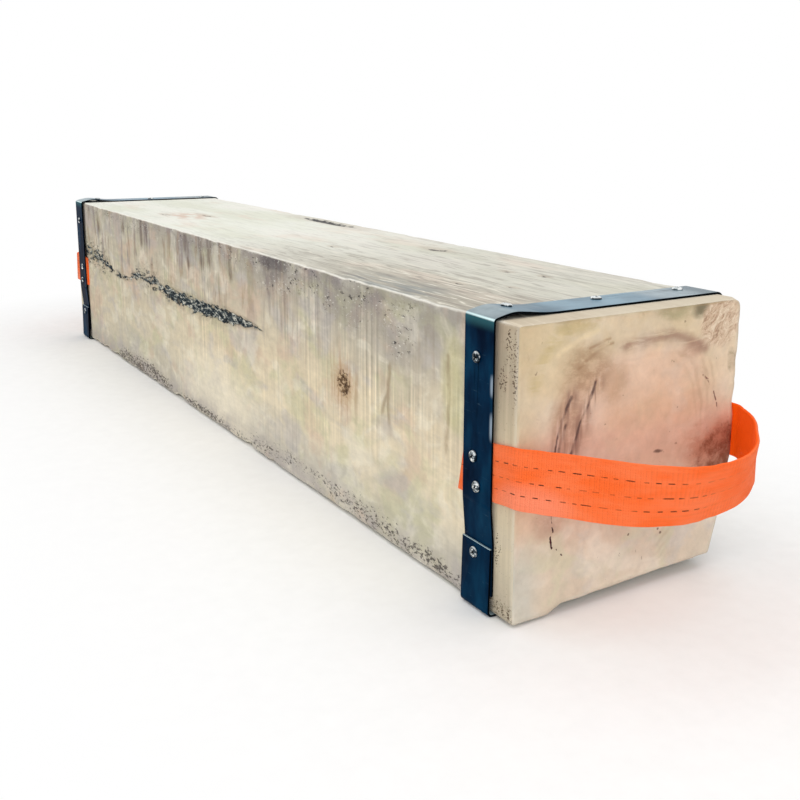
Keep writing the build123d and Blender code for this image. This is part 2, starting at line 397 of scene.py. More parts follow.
class Paint:
    """A material made of nodes, and its colour so far. Most methods add nodes and give back the
    socket to go on from. Colours are given as they look on screen."""

    SEED_SHIFT = (7.3, 3.1, 5.7)     # moves a noise aside for each seed

    def __init__(self, name, rough=0.8, gloss=0.5):
        self.material = bpy.data.materials.new(name)
        self.material.use_nodes = True
        self.tree = self.material.node_tree
        self.shader = self.tree.nodes["Principled BSDF"]
        self.shader.inputs["Roughness"].default_value = rough
        self.shader.inputs["Specular IOR Level"].default_value = gloss
        self.place = self.add("ShaderNodeTexCoord").outputs["Object"]
        axes = self.add("ShaderNodeSeparateXYZ", {0: self.place})
        self.x, self.y, self.z = (self.times(axis, 1 / MM) for axis in axes.outputs)
        self.colour = None

    def add(self, kind, inputs=None, **settings):
        node = self.tree.nodes.new(kind)
        for name, value in settings.items():
            setattr(node, name, value)
        for key, value in (inputs or {}).items():
            self.put(node.inputs[key], value)
        return node

    def put(self, socket, value):
        if isinstance(value, bpy.types.NodeSocket):
            self.tree.links.new(value, socket)
        else:
            socket.default_value = value

    def math(self, operation, first, second=0.0, third=0.0):
        return self.add("ShaderNodeMath", {0: first, 1: second, 2: third}, operation=operation).outputs[0]

    def times(self, first, *others):
        for other in others:
            first = self.math("MULTIPLY", first, other)
        return first

    def scaled(self, value, factor, plus):
        return self.math("MULTIPLY_ADD", value, factor, plus)

    def step(self, low, high, value, to_low=0.0, to_high=1.0):
        inputs = {0: value, 1: low, 2: high, 3: to_low, 4: to_high}
        return self.add("ShaderNodeMapRange", inputs, interpolation_type="SMOOTHSTEP").outputs[0]

    def vector(self, x, y, z=0.0):
        return self.add("ShaderNodeCombineXYZ", {0: x, 1: y, 2: z}).outputs[0]

    def field(self, name):
        return self.add("ShaderNodeAttribute", attribute_name=name).outputs["Fac"]

    def facing(self):
        """The three parts of the way the surface faces."""
        normal = self.add("ShaderNodeNewGeometry").outputs["Normal"]
        return self.add("ShaderNodeSeparateXYZ", {0: normal}).outputs

    def noise(self, per_metre, seed, detail=3.0, rough=0.55, bend=0.0, vector=None):
        shift = [seed * share for share in self.SEED_SHIFT]
        inputs = {"Vector": vector or self.place, "Scale": per_metre, "Location": shift}
        place = self.add("ShaderNodeMapping", inputs).outputs[0]
        inputs = {"Vector": place, "Scale": 1.0, "Detail": detail, "Roughness": rough, "Distortion": bend}
        return self.add("ShaderNodeTexNoise", inputs).outputs[0]

    def patches(self, low, high, per_metre, seed, to_low=0.0, to_high=1.0, **noise):
        """Soft-edged patches where a noise is above a level."""
        return self.step(low, high, self.noise(per_metre, seed, **noise), to_low, to_high)

    def wander(self, value, reach, per_metre, seed, detail=4.0, **noise):
        """A value shifted to and fro by up to about half the reach."""
        shift = self.math("SUBTRACT", self.noise(per_metre, seed, detail, **noise), 0.5)
        return self.scaled(shift, reach, value)

    def worn_and_lit_edge(self, outer, inner, per_metre, seed):
        """A ragged line along the edges of a face."""
        return self.step(outer, inner, self.scaled(self.noise(per_metre, seed), 3.0, self.field("edge")))

    def near_line(self, along, across, start, end):
        """Distance in millimetres from a straight line between two points of a face."""
        run = (end[0] - start[0], end[1] - start[1])
        square = run[0] ** 2 + run[1] ** 2
        first = self.math("SUBTRACT", along, start[0])
        second = self.math("SUBTRACT", across, start[1])
        dot = self.scaled(first, run[0] / square, self.times(second, run[1] / square))
        share = self.add("ShaderNodeClamp", {0: dot, 1: 0.0, 2: 1.0}).outputs[0]
        off = self.scaled(share, -run[0], first)
        aside = self.scaled(share, -run[1], second)
        return self.math("SQRT", self.scaled(off, off, self.times(aside, aside)))

    def near_lines(self, along, across, lines):
        """Distance from the nearest of several lines of straight runs."""
        nearest = 1e6
        for points in lines:
            for start, end in zip(points, points[1:]):
                nearest = self.math("MINIMUM", self.near_line(along, across, start, end), nearest)
        return nearest

    def spot(self, along, across, middle, half_sizes, strength=1.0):
        """A strength in the middle of an oval spot, fading to 0 at its edge."""
        first = self.scaled(along, 1 / half_sizes[0], -middle[0] / half_sizes[0])
        second = self.scaled(across, 1 / half_sizes[1], -middle[1] / half_sizes[1])
        square = self.scaled(first, first, self.times(second, second))
        return self.step(1.0, 0.0, square, 0.0, strength)

    def tone(self, colour):
        """A colour from three screen values, or from a socket as it is."""
        return screen(*colour) if isinstance(colour, tuple) else colour

    def mix(self, share, first, second, blend="MIX"):
        inputs = {0: share, 6: self.tone(first), 7: self.tone(second)}
        return self.add("ShaderNodeMix", inputs, data_type="RGBA", blend_type=blend).outputs[2]

    def ramp(self, value, *stops):
        """A colour that follows a value. Each stop is a value and its colour."""
        node = self.add("ShaderNodeValToRGB", {0: value})
        elements = node.color_ramp.elements
        while len(elements) < len(stops):
            elements.new(0.5)
        for element, (place, *colour) in zip(elements, stops):
            element.position = place
            element.color = screen(*colour)
        return node.outputs[0]

    def tint(self, share, colour, strength=None):
        """Lays a colour over the one so far."""
        if strength is not None:
            share = self.times(share, strength)
        self.colour = self.mix(share, self.colour, colour)

    def shade(self, value, strength, where=None):
        """Makes the colour lighter or darker where a value is above or below one half."""
        if where is not None:
            value = self.scaled(where, self.math("SUBTRACT", value, 0.5), 0.5)
        factor = self.scaled(value, strength, 1 - strength / 2)
        self.colour = self.mix(1.0, self.colour, self.vector(factor, factor, factor), "MULTIPLY")

    def bump(self, height, millimetres):
        old = self.shader.inputs["Normal"]
        inputs = {"Height": height, "Distance": millimetres * MM, "Strength": 1.0}
        if old.is_linked:
            inputs["Normal"] = old.links[0].from_socket
        self.put(old, self.add("ShaderNodeBump", inputs).outputs[0])

    def done(self):
        self.put(self.shader.inputs["Base Color"], self.colour)
        return self.material


def side_paint():
    """The long sides and the underside: cream and grey, saw-marked, with bark, dirt and specks."""
    p = Paint("timber_side", rough=0.85, gloss=0.2)
    away = p.math("SUBTRACT", END, p.x)
    height = p.math("SUBTRACT", p.z, UNDER)
    share_of_height = 1 / (TOP - UNDER)

    # Cream low down, greyer towards the top, flatter far from the end in view.
    level = p.wander(height, 90.0, (11, 11, 14), 1)
    p.colour = p.ramp(
        p.times(level, share_of_height),
        (0.0, 202, 195, 181), (0.13, 205, 198, 181), (0.3, 228, 214, 186), (0.5, 222, 207, 178),
        (0.74, 198, 188, 168), (0.88, 181, 173, 156), (1.0, 166, 160, 150),
    )
    p.tint(p.step(620.0, 900.0, p.wander(away, 200.0, (6, 6, 9), 2)), (201, 192, 170), 0.55)
    for seed, per_metre, strength, tint in SIDE_TINTS:
        p.tint(p.patches(0.5, 0.66, per_metre, seed, detail=4, bend=0.6), tint, strength)
    for middle, half_sizes, strength, tint in SIDE_SPOTS:
        p.tint(p.spot(away, level, middle, half_sizes, strength), tint)

    # Smears that run down from the upper edge, stronger away from the end in view.
    upper = p.times(p.step(90.0, 200.0, level), p.step(120.0, 850.0, away, 0.3, 1.0))
    smear = p.patches(0.5, 0.64, (62, 40, 15), 7, detail=4, bend=0.5)
    smear_colour = p.ramp(
        p.noise((16, 16, 14), 8), (0.36, 148, 145, 116), (0.48, 164, 134, 108), (0.6, 138, 128, 130),
    )
    p.tint(p.times(smear, upper), smear_colour, 0.62)
    run = p.near_lines(p.wander(away, 26.0, (45, 45, 20), 88), height, SMEARS)
    run = p.times(p.step(15.0, 2.0, run), p.patches(0.36, 0.6, (70, 70, 26), 89, detail=4))
    p.tint(run, (112, 94, 80), 0.75)

    # Saw lines across the grain, in patches, fibres along it and a fine mottle.
    saw = p.noise((190, 80, 4), 9)
    sawn = p.math("ADD", p.patches(0.44, 0.58, (9, 9, 9), 10), p.spot(away, height, *SAWN_SPOT))
    sawn = p.times(sawn, p.step(60.0, 180.0, level, 0.5, 1.3))
    fibre = p.noise((9, 190, 190), 11, detail=4)
    mottle = p.noise((55, 55, 90), 12, detail=5, rough=0.7)
    p.shade(saw, 0.75, where=sawn)
    p.shade(fibre, 0.14)
    p.shade(mottle, 0.5)

    # Thin brown lines in the grain near the end in view.
    line = p.near_lines(p.wander(away, 12.0, (30, 30, 30), 13), height, SIDE_LINES)
    broken = p.patches(0.36, 0.6, (60, 60, 40), 28, 0.1, 0.55)
    p.tint(p.step(5.0, 0.6, line), (146, 124, 98), broken)

    # Grey dirt along the upper edge, with dark and white specks.
    grime = p.field("grime")
    veil = p.times(grime, p.patches(0.34, 0.66, (24, 30, 34), 14, 0.3, 0.95, detail=4, bend=0.6))
    veil = p.math("MAXIMUM", veil, p.step(0.72, 1.0, grime, 0.0, 0.8))
    p.tint(veil, p.mix(p.step(0.65, 1.0, grime), (136, 128, 130), (84, 77, 82)))
    speckled = p.times(p.step(0.1, 0.5, grime), p.patches(0.4, 0.6, (20, 20, 40), 29, 0.2, 1.0))
    dark = p.patches(0.59, 0.65, (130, 130, 300), 15, detail=4, rough=0.65)
    p.tint(p.times(dark, speckled), (48, 43, 46), 0.95)
    pale = p.patches(0.61, 0.66, (180, 180, 420), 16)
    p.tint(p.times(pale, speckled), (232, 229, 219), 0.6)

    # Grey haze and fine dark specks along the foot.
    moss = p.field("moss")
    haze = p.patches(0.36, 0.64, (40, 40, 60), 17, 0.25, 0.85, detail=4)
    p.tint(haze, (180, 172, 166), p.field("foot"))
    clumps = p.scaled(moss, 0.2, p.noise((150, 150, 330), 18, detail=5, rough=0.75))
    clumps = p.scaled(p.noise((26, 26, 70), 30), 0.28, clumps)
    clumps = p.times(p.step(0.79, 0.86, clumps), p.step(0.02, 0.25, moss))
    p.tint(clumps, (66, 59, 57), 0.85)

    # The strip between the band and the end is dirty and finely speckled.
    strip = p.step(30.0, 22.0, away)
    strip_colour = p.ramp(
        p.times(height, share_of_height),
        (0.0, 192, 180, 156), (0.3, 206, 192, 164), (0.6, 200, 184, 154), (0.8, 176, 160, 136),
    )
    p.tint(strip, strip_colour, 0.8)
    p.shade(p.noise((300, 300, 14), 20), 0.5, where=strip)
    dirty = 0.05
    wavy_height = p.wander(height, 10.0, (60, 60, 60), 19)
    for middle, half_sizes in STRIP_DIRT:
        dirty = p.math("MAXIMUM", p.spot(away, wavy_height, middle, half_sizes), dirty)
    grains = p.step(0.7, 0.75, p.scaled(dirty, 0.16, p.noise((520, 520, 640), 95, detail=1.0)))
    grains = p.times(grains, strip, p.step(0.04, 0.4, dirty, 0.3, 0.9))
    p.tint(grains, (84, 66, 51))

    # Bark left in the sawn face: ragged clumps with pale specks and a brown fringe.
    ragged = p.step(780.0, 900.0, away, 3.0, 5.0)
    bark = p.wander(p.field("bark"), ragged, (48, 48, 150), 21, detail=6, rough=0.72)
    p.tint(p.step(-1.0, 0.1, bark, 0.0, 0.42), (152, 141, 120))
    bark_colour = p.ramp(
        p.noise((80, 80, 260), 22, detail=5, rough=0.75),
        (0.4, 8, 12, 14), (0.48, 30, 46, 56), (0.53, 92, 100, 98), (0.58, 206, 204, 192),
    )
    barky = p.step(0.0, 0.25, bark)
    p.tint(barky, bark_colour)

    # The knot: brown and speckled, with soft streaks above and below it.
    knot = p.wander(p.field("knot"), 1.7, (130, 130, 220), 23, rough=0.7)
    streak = p.patches(0.5, 0.62, (240, 240, 12), 24)
    p.tint(p.times(streak, p.step(4.0, 1.0, p.field("knot"))), (168, 128, 96), 0.55)
    p.tint(p.step(2.3, 0.9, knot, 0.0, 0.6), (186, 148, 112))
    knot_colour = p.ramp(
        p.noise((200, 200, 320), 25), (0.36, 70, 52, 38), (0.52, 120, 94, 68), (0.64, 198, 172, 138),
    )
    p.tint(p.step(1.15, 0.8, knot), knot_colour)

    # The worn arris, painted brighter: wear and a painted highlight.
    worn = p.worn_and_lit_edge(4.6, 2.2, (50, 200, 200), 26)
    p.tint(worn, (240, 236, 224), p.step(8.0, 30.0, away, 0.15, 0.8))

    p.bump(saw, 0.35)
    p.bump(fibre, 0.3)
    p.bump(p.times(barky, p.noise((120, 120, 260), 27, detail=4)), 1.4)
    p.bump(mottle, 0.3)
    return p.done()


def top_paint():
    """The upper face: greenish white, greyer and rippled towards its near edge and the end in view."""
    p = Paint("timber_top", rough=0.85, gloss=0.2)
    away = p.math("SUBTRACT", END, p.x)
    p.colour = p.ramp(
        p.noise((4, 10, 1), 31, detail=4), (0.36, 228, 229, 214), (0.5, 236, 237, 226), (0.64, 241, 239, 230),
    )
    towards_end = p.step(800.0, 200.0, p.wander(away, 260.0, (5, 8, 1), 32))
    near_edge = p.step(0.0, -90.0, p.wander(p.y, 70.0, (8, 20, 1), 33), 0.5, 1.0)
    worn = p.times(towards_end, near_edge)
    p.tint(worn, (182, 176, 162))
    p.tint(p.patches(0.54, 0.7, (6, 14, 1), 34), (230, 213, 198), 0.45)

    ripple = p.noise((16, 130, 1), 35, detail=4, bend=1.2)
    rippled = p.scaled(worn, 0.85, 0.13)
    p.tint(p.step(0.5, 0.66, ripple), (160, 152, 142), rippled)
    p.tint(p.step(0.46, 0.34, ripple), (230, 225, 211), rippled)
    fibre = p.noise((12, 330, 1), 36, detail=4)
    p.shade(fibre, 0.18)
    p.tint(p.step(30.0, 20.0, away), (213, 197, 172), 0.75)

    # Dents and dark dashes, the pinkish patch near the far band and the bluish dirt by the edge.
    mark = p.wander(p.field("mark"), 1.6, (60, 160, 1), 37)
    p.tint(p.step(2.4, 1.0, mark, 0.0, 0.4), (190, 176, 160))
    p.tint(p.step(1.0, 0.6, mark, 0.0, 0.9), (54, 54, 58))
    patch = p.times(p.field("patch"), p.patches(0.36, 0.6, (22, 60, 1), 38, detail=4))
    p.tint(patch, (214, 184, 166), 0.75)
    blue = p.times(p.field("grime"), p.patches(0.38, 0.6, (14, 110, 1), 39, detail=4))
    p.tint(blue, (126, 136, 141), 0.6)
    # The worn arris, painted brighter: wear and a painted highlight.
    arris_wear_and_highlight = p.worn_and_lit_edge(4.8, 2.2, (50, 200, 200), 26)
    p.tint(arris_wear_and_highlight, (246, 244, 236), p.step(4.0, 34.0, away, 0.05, 0.85))

    p.bump(ripple, 0.7)
    p.bump(fibre, 0.3)
    return p.done()


def end_paint():
    """The sawn ends: beige heartwood in paler sapwood, with arcs of grain, checks, stains and torn grain."""
    p = Paint("timber_end", rough=0.85, gloss=0.2)
    y = p.wander(p.y, 40.0, (1, 13, 13), 41)
    z = p.wander(p.z, 40.0, (1, 13, 13), 42)
    wavy_y = p.wander(p.y, 9.0, (1, 55, 40), 54)
    wavy_z = p.wander(p.z, 9.0, (1, 40, 55), 93)
    seen = p.step(-1.0, 1.0, p.x)

    # Distance from the middle of the heartwood, 1 at its edge: a square with very round corners.
    cubes = []
    for place, middle, half in zip((y, z), HEART, HEART_HALF):
        reach = p.math("ABSOLUTE", p.scaled(place, 1 / half, -middle / half))
        cubes.append(p.math("POWER", reach, 3.0))
    radius = p.math("POWER", p.math("ADD", *cubes), 1 / 3)
    sapwood = p.ramp(
        p.noise((1, 12, 12), 43, detail=4),
        (0.36, 200, 184, 152), (0.5, 213, 195, 162), (0.64, 220, 208, 184),
    )
    heartwood = p.ramp(
        p.noise((1, 10, 10), 44, detail=4),
        (0.36, 208, 180, 150), (0.5, 219, 190, 160), (0.64, 222, 198, 174),
    )
    p.colour = p.mix(p.step(1.06, 0.82, radius), sapwood, heartwood)
    p.tint(p.step(172.0, 138.0, z, 0.0, 0.6), (208, 175, 156))
    p.tint(p.step(60.0, 120.0, y, 0.0, 0.5), (220, 198, 176))
    low = p.step(98.0, 40.0, z)
    p.tint(low, (215, 203, 183), 0.75)
    for seed, tint in ((45, (204, 198, 190)), (46, (203, 200, 170)), (47, (226, 216, 200))):
        patch = p.patches(0.5, 0.66, (1, 20, 26), seed, detail=4, bend=0.6)
        p.tint(patch, tint, p.scaled(low, 0.42, 0.14))
    left = p.step(-88.0, -114.0, p.y)
    p.tint(left, (196, 174, 138), p.step(60.0, 130.0, p.z, 0.0, 0.5))
    p.tint(left, (200, 197, 184), p.step(84.0, 40.0, p.z, 0.0, 0.75))

    # Arcs of grain and soft patches on the end in view, faint rings on both ends.
    uneven = p.scaled(p.noise((1, 9, 9), 92), 0.3, radius)
    rings = p.math("SINE", p.times(uneven, 2 * math.pi * HEART_HALF[1] / RING_PITCH))
    ringed = p.times(p.step(0.66, 0.86, radius), p.step(1.12, 1.0, radius))
    ringed = p.times(ringed, p.patches(0.4, 0.64, (1, 17, 17), 49))
    p.tint(ringed, (166, 138, 110), p.step(-0.6, 1.0, rings, 0.08, 0.3))
    broken = p.times(p.patches(0.38, 0.58, (1, 45, 80), 59, 0.4, 1.0, detail=5, rough=0.7), seen)
    for middle, half_sizes, strength, tint in END_PATCHES:
        p.tint(p.spot(wavy_y, wavy_z, middle, half_sizes, strength), tint, broken)
    fibrous = p.patches(0.36, 0.6, (1, 24, 130), 96, 0.15, 1.0, detail=4, rough=0.65, bend=0.5)
    fibrous = p.times(fibrous, seen)
    gentle_y, gentle_z = (p.wander(place, 5.0, (1, 50, 50), 97) for place in (p.y, p.z))
    for points, half_width, strength, tint in END_ARCS:
        line = p.near_lines(gentle_y, gentle_z, (points,))
        p.tint(p.step(half_width, 0.0, line, 0.0, strength), tint, fibrous)
    fuzz = p.noise((1, 95, 95), 50, detail=5, rough=0.7)
    p.shade(fuzz, 0.36)
    p.shade(p.noise((1, 30, 30), 60, detail=4), 0.26)

    # Torn grain in slanting streaks at the far upper corner.
    torn = p.times(p.spot(wavy_y, wavy_z, *END_TORN), seen)
    slant = p.vector(p.math("ADD", p.y, p.z), p.math("SUBTRACT", p.y, p.z))
    streaks = p.noise((0.06, 0.11, 1), 51, detail=5, rough=0.75, bend=1.6, vector=slant)
    torn_colour = p.ramp(
        streaks, (0.36, 150, 118, 96), (0.46, 198, 170, 144), (0.54, 212, 190, 164), (0.64, 234, 218, 196),
    )
    p.tint(p.step(0.0, 0.6, torn), torn_colour, 0.8)

    # A red-brown stain above the webbing, a small dark mark and a few specks.
    stained = p.times(p.spot(p.y, p.z, *END_STAIN), seen)
    blotched = p.noise((1, 85, 85), 52, detail=5, rough=0.7, bend=0.3)
    p.tint(p.step(0.0, 0.7, stained), (182, 124, 96), 0.5)
    p.tint(p.step(0.62, 1.0, p.scaled(stained, 0.4, blotched), 0.0, 0.9), (122, 72, 50))
    for middle, half_sizes in END_SPOTS:
        p.tint(p.spot(wavy_y, wavy_z, middle, half_sizes, 0.85), (96, 70, 62), seen)
    p.tint(p.patches(0.72, 0.76, (1, 150, 150), 53), (112, 86, 70), 0.5)

    # Checks: bundles of thin dark lines in a grey-brown shade, the lower one a row of maroon dashes.
    crack = p.near_lines(wavy_y, p.z, END_CRACKS)
    strands = p.noise((1, 150, 14), 55, detail=4)
    shade = p.times(p.step(12.0, 0.5, crack), p.step(0.42, 0.62, strands), seen)
    p.tint(shade, (138, 110, 96), 0.8)
    pale = p.times(p.step(8.0, 1.0, crack), p.step(0.46, 0.36, strands), seen)
    p.tint(pale, (230, 212, 196), 0.45)
    core = p.times(p.step(2.5, 0.4, crack), p.patches(0.38, 0.56, (1, 90, 50), 56, 0.3, 0.95))
    p.tint(core, (98, 78, 72), seen)
    dash = p.scaled(p.noise((1, 200, 150), 94, detail=4), 4.0, p.near_lines(wavy_y, p.z, END_DASHES))
    p.tint(p.step(3.0, 2.4, dash), (66, 34, 38), seen)
    dotted = p.step(1.3, 0.4, p.near_lines(wavy_y, p.z, END_DOTS))
    dotted = p.times(dotted, p.patches(0.44, 0.52, (1, 190, 190), 90, 0.1, 1.0), seen)
    p.tint(dotted, (104, 62, 56), 0.8)

    # The rim of the end: wear with a pale painted highlight, and painted shade in brown along its upper edge.
    rim = p.times(p.worn_and_lit_edge(4.5, 2.0, (120, 120, 120), 57), p.patches(0.4, 0.64, (1, 26, 26), 87))
    rim_highlight_and_shade = p.mix(p.step(238.0, 247.0, p.z), (228, 218, 200), (172, 144, 108))
    p.tint(rim, rim_highlight_and_shade, 0.5)
    p.bump(fuzz, 0.6)
    p.bump(p.times(torn, streaks), 1.0)
    return p.done()


def band_paint():
    """Blue-black lacquered strip: dark on its sides, dusty on top with a painted sky reflection, painted
    highlights at the near fold and edge, painted shade on some cut edges and bare steel with painted glints
    on others.
    """
    p = Paint("band_lacquer", rough=0.4, gloss=0.1)
    facing_x, _, facing_z = p.facing()
    upward = p.step(0.2, 0.9, facing_z)
    p.colour = p.ramp(
        p.noise((26, 26, 12), 61, detail=4), (0.36, 0, 14, 36), (0.5, 2, 34, 60), (0.64, 8, 54, 82),
    )
    scuff = p.noise((60, 60, 420), 62, detail=5, rough=0.7)
    p.tint(p.step(0.64, 0.72, scuff, 0.0, 0.3), (70, 96, 112))
    # Dust on faces that look up, with a painted sky reflection there that is paler near the fold.
    dust_and_sky_reflection = p.patches(0.3, 0.7, (30, 22, 30), 63, 0.5, 0.95, detail=4)
    film_and_sky_reflection = (122, 156, 174)
    for start, full, tint in BAND_DUST_AND_REFLECTION:
        film_and_sky_reflection = p.mix(p.step(start, full, p.y), film_and_sky_reflection, tint)
    p.tint(upward, film_and_sky_reflection, dust_and_sky_reflection)

    # Painted highlights: the fold at the near upper corner is painted bright, with a painted glow below it
    # and painted glints down the near edge.
    painted_fold_highlight = p.times(p.step(0.15, 0.45, facing_z), p.step(0.85, 0.6, facing_z))
    p.tint(painted_fold_highlight, (214, 240, 242), p.step(-122.0, -126.0, p.y))
    near = p.math("MAXIMUM", p.step(-122.0, -124.0, p.y), p.step(20.0, 10.0, p.z))
    painted_glow_below_fold = p.times(near, p.step(241.0, 251.0, p.z, 0.0, 0.55))
    p.tint(painted_glow_below_fold, (60, 112, 120), p.step(0.5, 0.2, facing_z))
    painted_glint_spots = (p.spot(p.z, p.x, (height, BAND_EDGE), (half, 9.0)) for height, half in BAND_PAINTED_GLINTS)
    painted_glint = p.times(near, p.step(BAND_EDGE - 4.5, BAND_EDGE - 1.5, p.x), p.math("MAXIMUM", *painted_glint_spots))
    p.tint(painted_glint, (170, 188, 204), 0.65)

    # The cut edges get painted shade, near black, on the near side and on top, and bare steel with painted
    # glints in places elsewhere.
    cut = p.step(0.5, 0.9, p.math("ABSOLUTE", facing_x))
    bare_steel_and_glint = p.patches(0.54, 0.6, (40, 24, 24), 64, 0.04, 0.9, detail=4)
    bare_steel_and_glint = p.times(bare_steel_and_glint, p.step(60.0, 110.0, p.z, 0.15, 1.0), p.step(250.0, 244.0, p.z))
    bare_steel_and_glint = p.times(bare_steel_and_glint, p.math("SUBTRACT", 1.0, near))
    p.tint(cut, (3, 6, 10), p.math("MAXIMUM", near, p.step(246.0, 250.0, p.z)))
    p.tint(cut, (190, 208, 214), bare_steel_and_glint)
    p.put(p.shader.inputs["Specular IOR Level"], p.scaled(upward, 0.44, 0.01))
    p.bump(p.noise((30, 30, 22), 65, detail=2), 0.5)
    p.bump(scuff, 0.03)
    return p.done()


def webbing_paint():
    """Orange polyester webbing: ribs, a woven grain, three rows of dark marker threads, a painted sheen, and
    a painted glow on the inner side.
    """
    p = Paint("webbing_orange", rough=0.8, gloss=0.2)
    along, across, inner = (p.field(name) for name in ("along", "across", "inner"))
    flat = p.vector(along, across, inner)
    tone = p.noise((0.025, 0.06, 1), 71, vector=flat)
    p.colour = p.ramp(tone, (0.36, 252, 106, 44), (0.64, 254, 122, 70))
    # A painted sheen: a paler spot on the webbing.
    p.tint(p.spot(along, across, *STRAP_SHEEN), (255, 152, 120))
    p.tint(inner, (255, 92, 6))
    waves = ((along, RIB_PITCH), (across, WARP_PITCH), (along, 2 * RIB_PITCH))
    rib, warp, broad_rib = (p.math("SINE", p.times(place, 2 * math.pi / pitch)) for place, pitch in waves)
    weave = p.times(rib, warp)
    p.shade(p.scaled(weave, 0.5, 0.5), 0.07)
    ribbed = p.patches(0.46, 0.6, (0.03, 0.05, 1), 72, vector=flat)
    p.shade(p.scaled(p.times(broad_rib, ribbed), 0.5, 0.5), 0.08)
    p.shade(p.noise((0.008, 0.7, 1), 73, vector=flat), 0.22)

    # The threads show on the outer side, and fade where the loop turns back to the timber.
    hidden = p.times(p.step(205.0, 240.0, along), p.step(345.0, 310.0, along, 0.0, 0.85))
    shown = p.times(p.math("SUBTRACT", 1.0, inner), p.math("SUBTRACT", 1.0, hidden))
    for number, row in enumerate(MARKER_ROWS):
        drift = p.wander(across, 1.6, (0.02, 0, 1), 74 + number, detail=3, vector=flat)
        off = p.math("ABSOLUTE", p.math("SUBTRACT", drift, (0.5 - row) * STRAP_WIDTH))
        jitter = p.noise((0.06, 0, 1), 77 + number, detail=2, vector=flat)
        phase = p.scaled(jitter, 16.0, p.math("ADD", along, MARKER_SHIFT * number))
        cycle = p.math("PINGPONG", phase, MARKER_CYCLE / 2)
        dash = p.step(MARKER_CYCLE * 0.22, MARKER_CYCLE * 0.32, cycle)
        faded = p.patches(0.4, 0.56, (0.03, 0, 1), 80 + number, 0.4, 1.0, vector=flat)
        p.tint(p.times(p.step(0.6, 0.25, off), dash, faded), (64, 26, 14), shown)

    # Painted glow: a faint orange emission on the inner side stands in for light that comes through the weave
    # and keeps it bright.
    p.shader.inputs["Emission Color"].default_value = screen(255, 92, 6)
    p.put(p.shader.inputs["Emission Strength"], p.times(inner, 0.15))
    p.bump(weave, 0.14)
    p.bump(warp, 0.1)
    return p.done()


def zinc_paint():
    """Zinc dulled to grey, with dark and bright spots that are wear and painted glints, a painted highlight
    on faces that look up, and painted shade in the recess.
    """
    p = Paint("zinc", rough=0.32)
    p.shader.inputs["Metallic"].default_value = 1.0
    wear_and_glint_spots = p.noise((300, 300, 300), 91)
    p.colour = p.ramp(wear_and_glint_spots, (0.44, 24, 34, 44), (0.53, 112, 124, 130), (0.6, 246, 248, 247))
    # Painted highlight: faces that look up are painted paler.
    p.tint(p.step(0.3, 0.8, p.facing()[2], 0.0, 0.8), (238, 243, 243))
    # Painted shade in the recess.
    p.tint(p.field("recess"), (16, 22, 26))
    p.bump(wear_and_glint_spots, 0.05)
    return p.done()


# Timber mesh

def section_outline():
    """Points round the timber's section, closest at its corners, with outward normals and the
    distance to the nearest sharp corner, its number and the way into the wood there."""
    start = (0.0, UNDER)
    sharp = np.array([(-SIDE, UNDER), (-SIDE, TOP), (SIDE, TOP), (SIDE - WANE_WIDTH, UNDER)])
    corners = [start, sharp[0], sharp[1], sharp[2], (SIDE, UNDER + WANE_HEIGHT), sharp[3], start]
    radii = [ARRIS_RADIUS, ARRIS_RADIUS, ARRIS_RADIUS, WANE_RADIUS, ARRIS_RADIUS]
    line = rounded_path(corners, radii, 1.0)
    to_sharp = np.linalg.norm(line[:, None] - sharp, axis=2).min(axis=1)
    spacing = 0.9 + 3.4 * smooth_step(3, 28, to_sharp)
    spacing *= 1 + 0.9 * smooth_step(20, 60, np.where(line[:, 1] < UNDER + 1, to_sharp, 0))
    points = points_at(graded(spacing)[:-1], np.arange(len(line)), line)
    ahead = np.roll(points, -1, axis=0) - np.roll(points, 1, axis=0)
    ahead /= np.linalg.norm(ahead, axis=1)[:, None]
    normals = np.stack([-ahead[:, 1], ahead[:, 0]], axis=1)
    to_sharp = np.linalg.norm(points[:, None] - sharp, axis=2)
    nearest = to_sharp.argmin(axis=1)
    inward = np.sign(np.array([0.0, (UNDER + TOP) / 2]) - sharp) / math.sqrt(2)
    return points, normals, to_sharp.min(axis=1), nearest, inward[nearest]


def timber_rows():
    """Each row of the timber mesh: its X and its share of the full section. The rows run from the
    middle of one end face out to its rim, along the timber and in to the middle of the other."""
    length = np.arange(0, 2 * END + 1)
    to_end = np.minimum(length, 2 * END - length)
    stations = graded(1.3 + 3.9 * smooth_step(4, 40, to_end)) - END
    shares, far_shares = (np.linspace(1, 0, count)[1:-1] for count in END_ROWS)
    x = np.r_[np.full(len(far_shares), -END), stations, np.full(len(shares), END)]
    share = np.r_[far_shares[::-1], np.ones(len(stations)), shares]
    return x[:, None], share[:, None]


def timber_grid():
    """Where each point of the timber mesh lies before any wear. Its rows follow one another along
    the timber, and its columns go round it."""
    outline, normals, to_corner, corner, inward = section_outline()
    x, share = timber_rows()
    blank = np.zeros((len(x), len(outline)))
    return SimpleNamespace(
        x=x, share=share, outline=outline, normals=normals, to_corner=to_corner, corner=corner, inward=inward,
        along=END - x + blank, round=lengths_along(outline) + blank, to_end=END - np.abs(x),
        height=outline[:, 1] - UNDER + blank, across=outline[:, 0] + blank,
        near=np.clip(-normals[:, 0] * 2 - 1, 0, 1),
        far=np.clip(normals[:, 0] * 2 - 1, 0, 1),
        upper=np.clip(normals[:, 1] * 2 - 1, 0, 1),
    )


